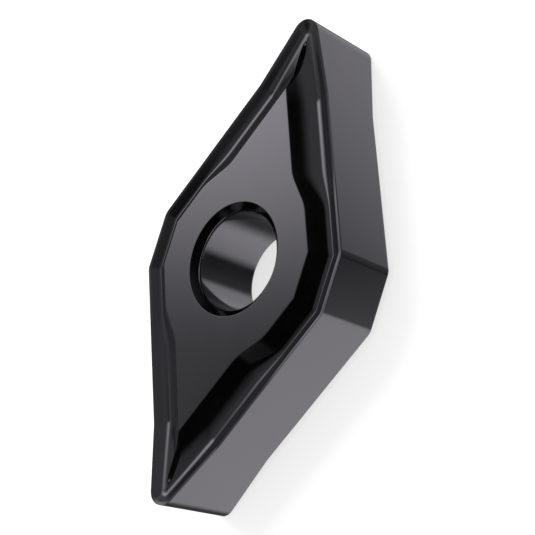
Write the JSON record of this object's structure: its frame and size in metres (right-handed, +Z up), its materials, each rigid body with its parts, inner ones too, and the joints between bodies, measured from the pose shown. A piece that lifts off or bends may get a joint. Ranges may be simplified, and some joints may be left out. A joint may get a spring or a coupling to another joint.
{
  "type": "carbide insert",
  "caption": "Flat rhombic indexable turning insert, double-sided, with rising rounded noses, a moulded chip groove inside the cutting edge, a raised seat land and a central clamping bore.",
  "frame": {"origin": "on the lower seat face, under the middle of the bore", "axes": "+Z up along the bore axis, +X along the long diagonal towards one nose, +Y across the flattened obtuse corners"},
  "size_m": [0.0254, 0.0126, 0.0048],
  "materials": {
    "coated_carbide": "smooth semi-gloss dark coating on cemented carbide, nearly black with a faint violet-grey tint"
  },
  "bodies": {
    "root": {"insert": "coated_carbide"}
  },
  "joints": []
}
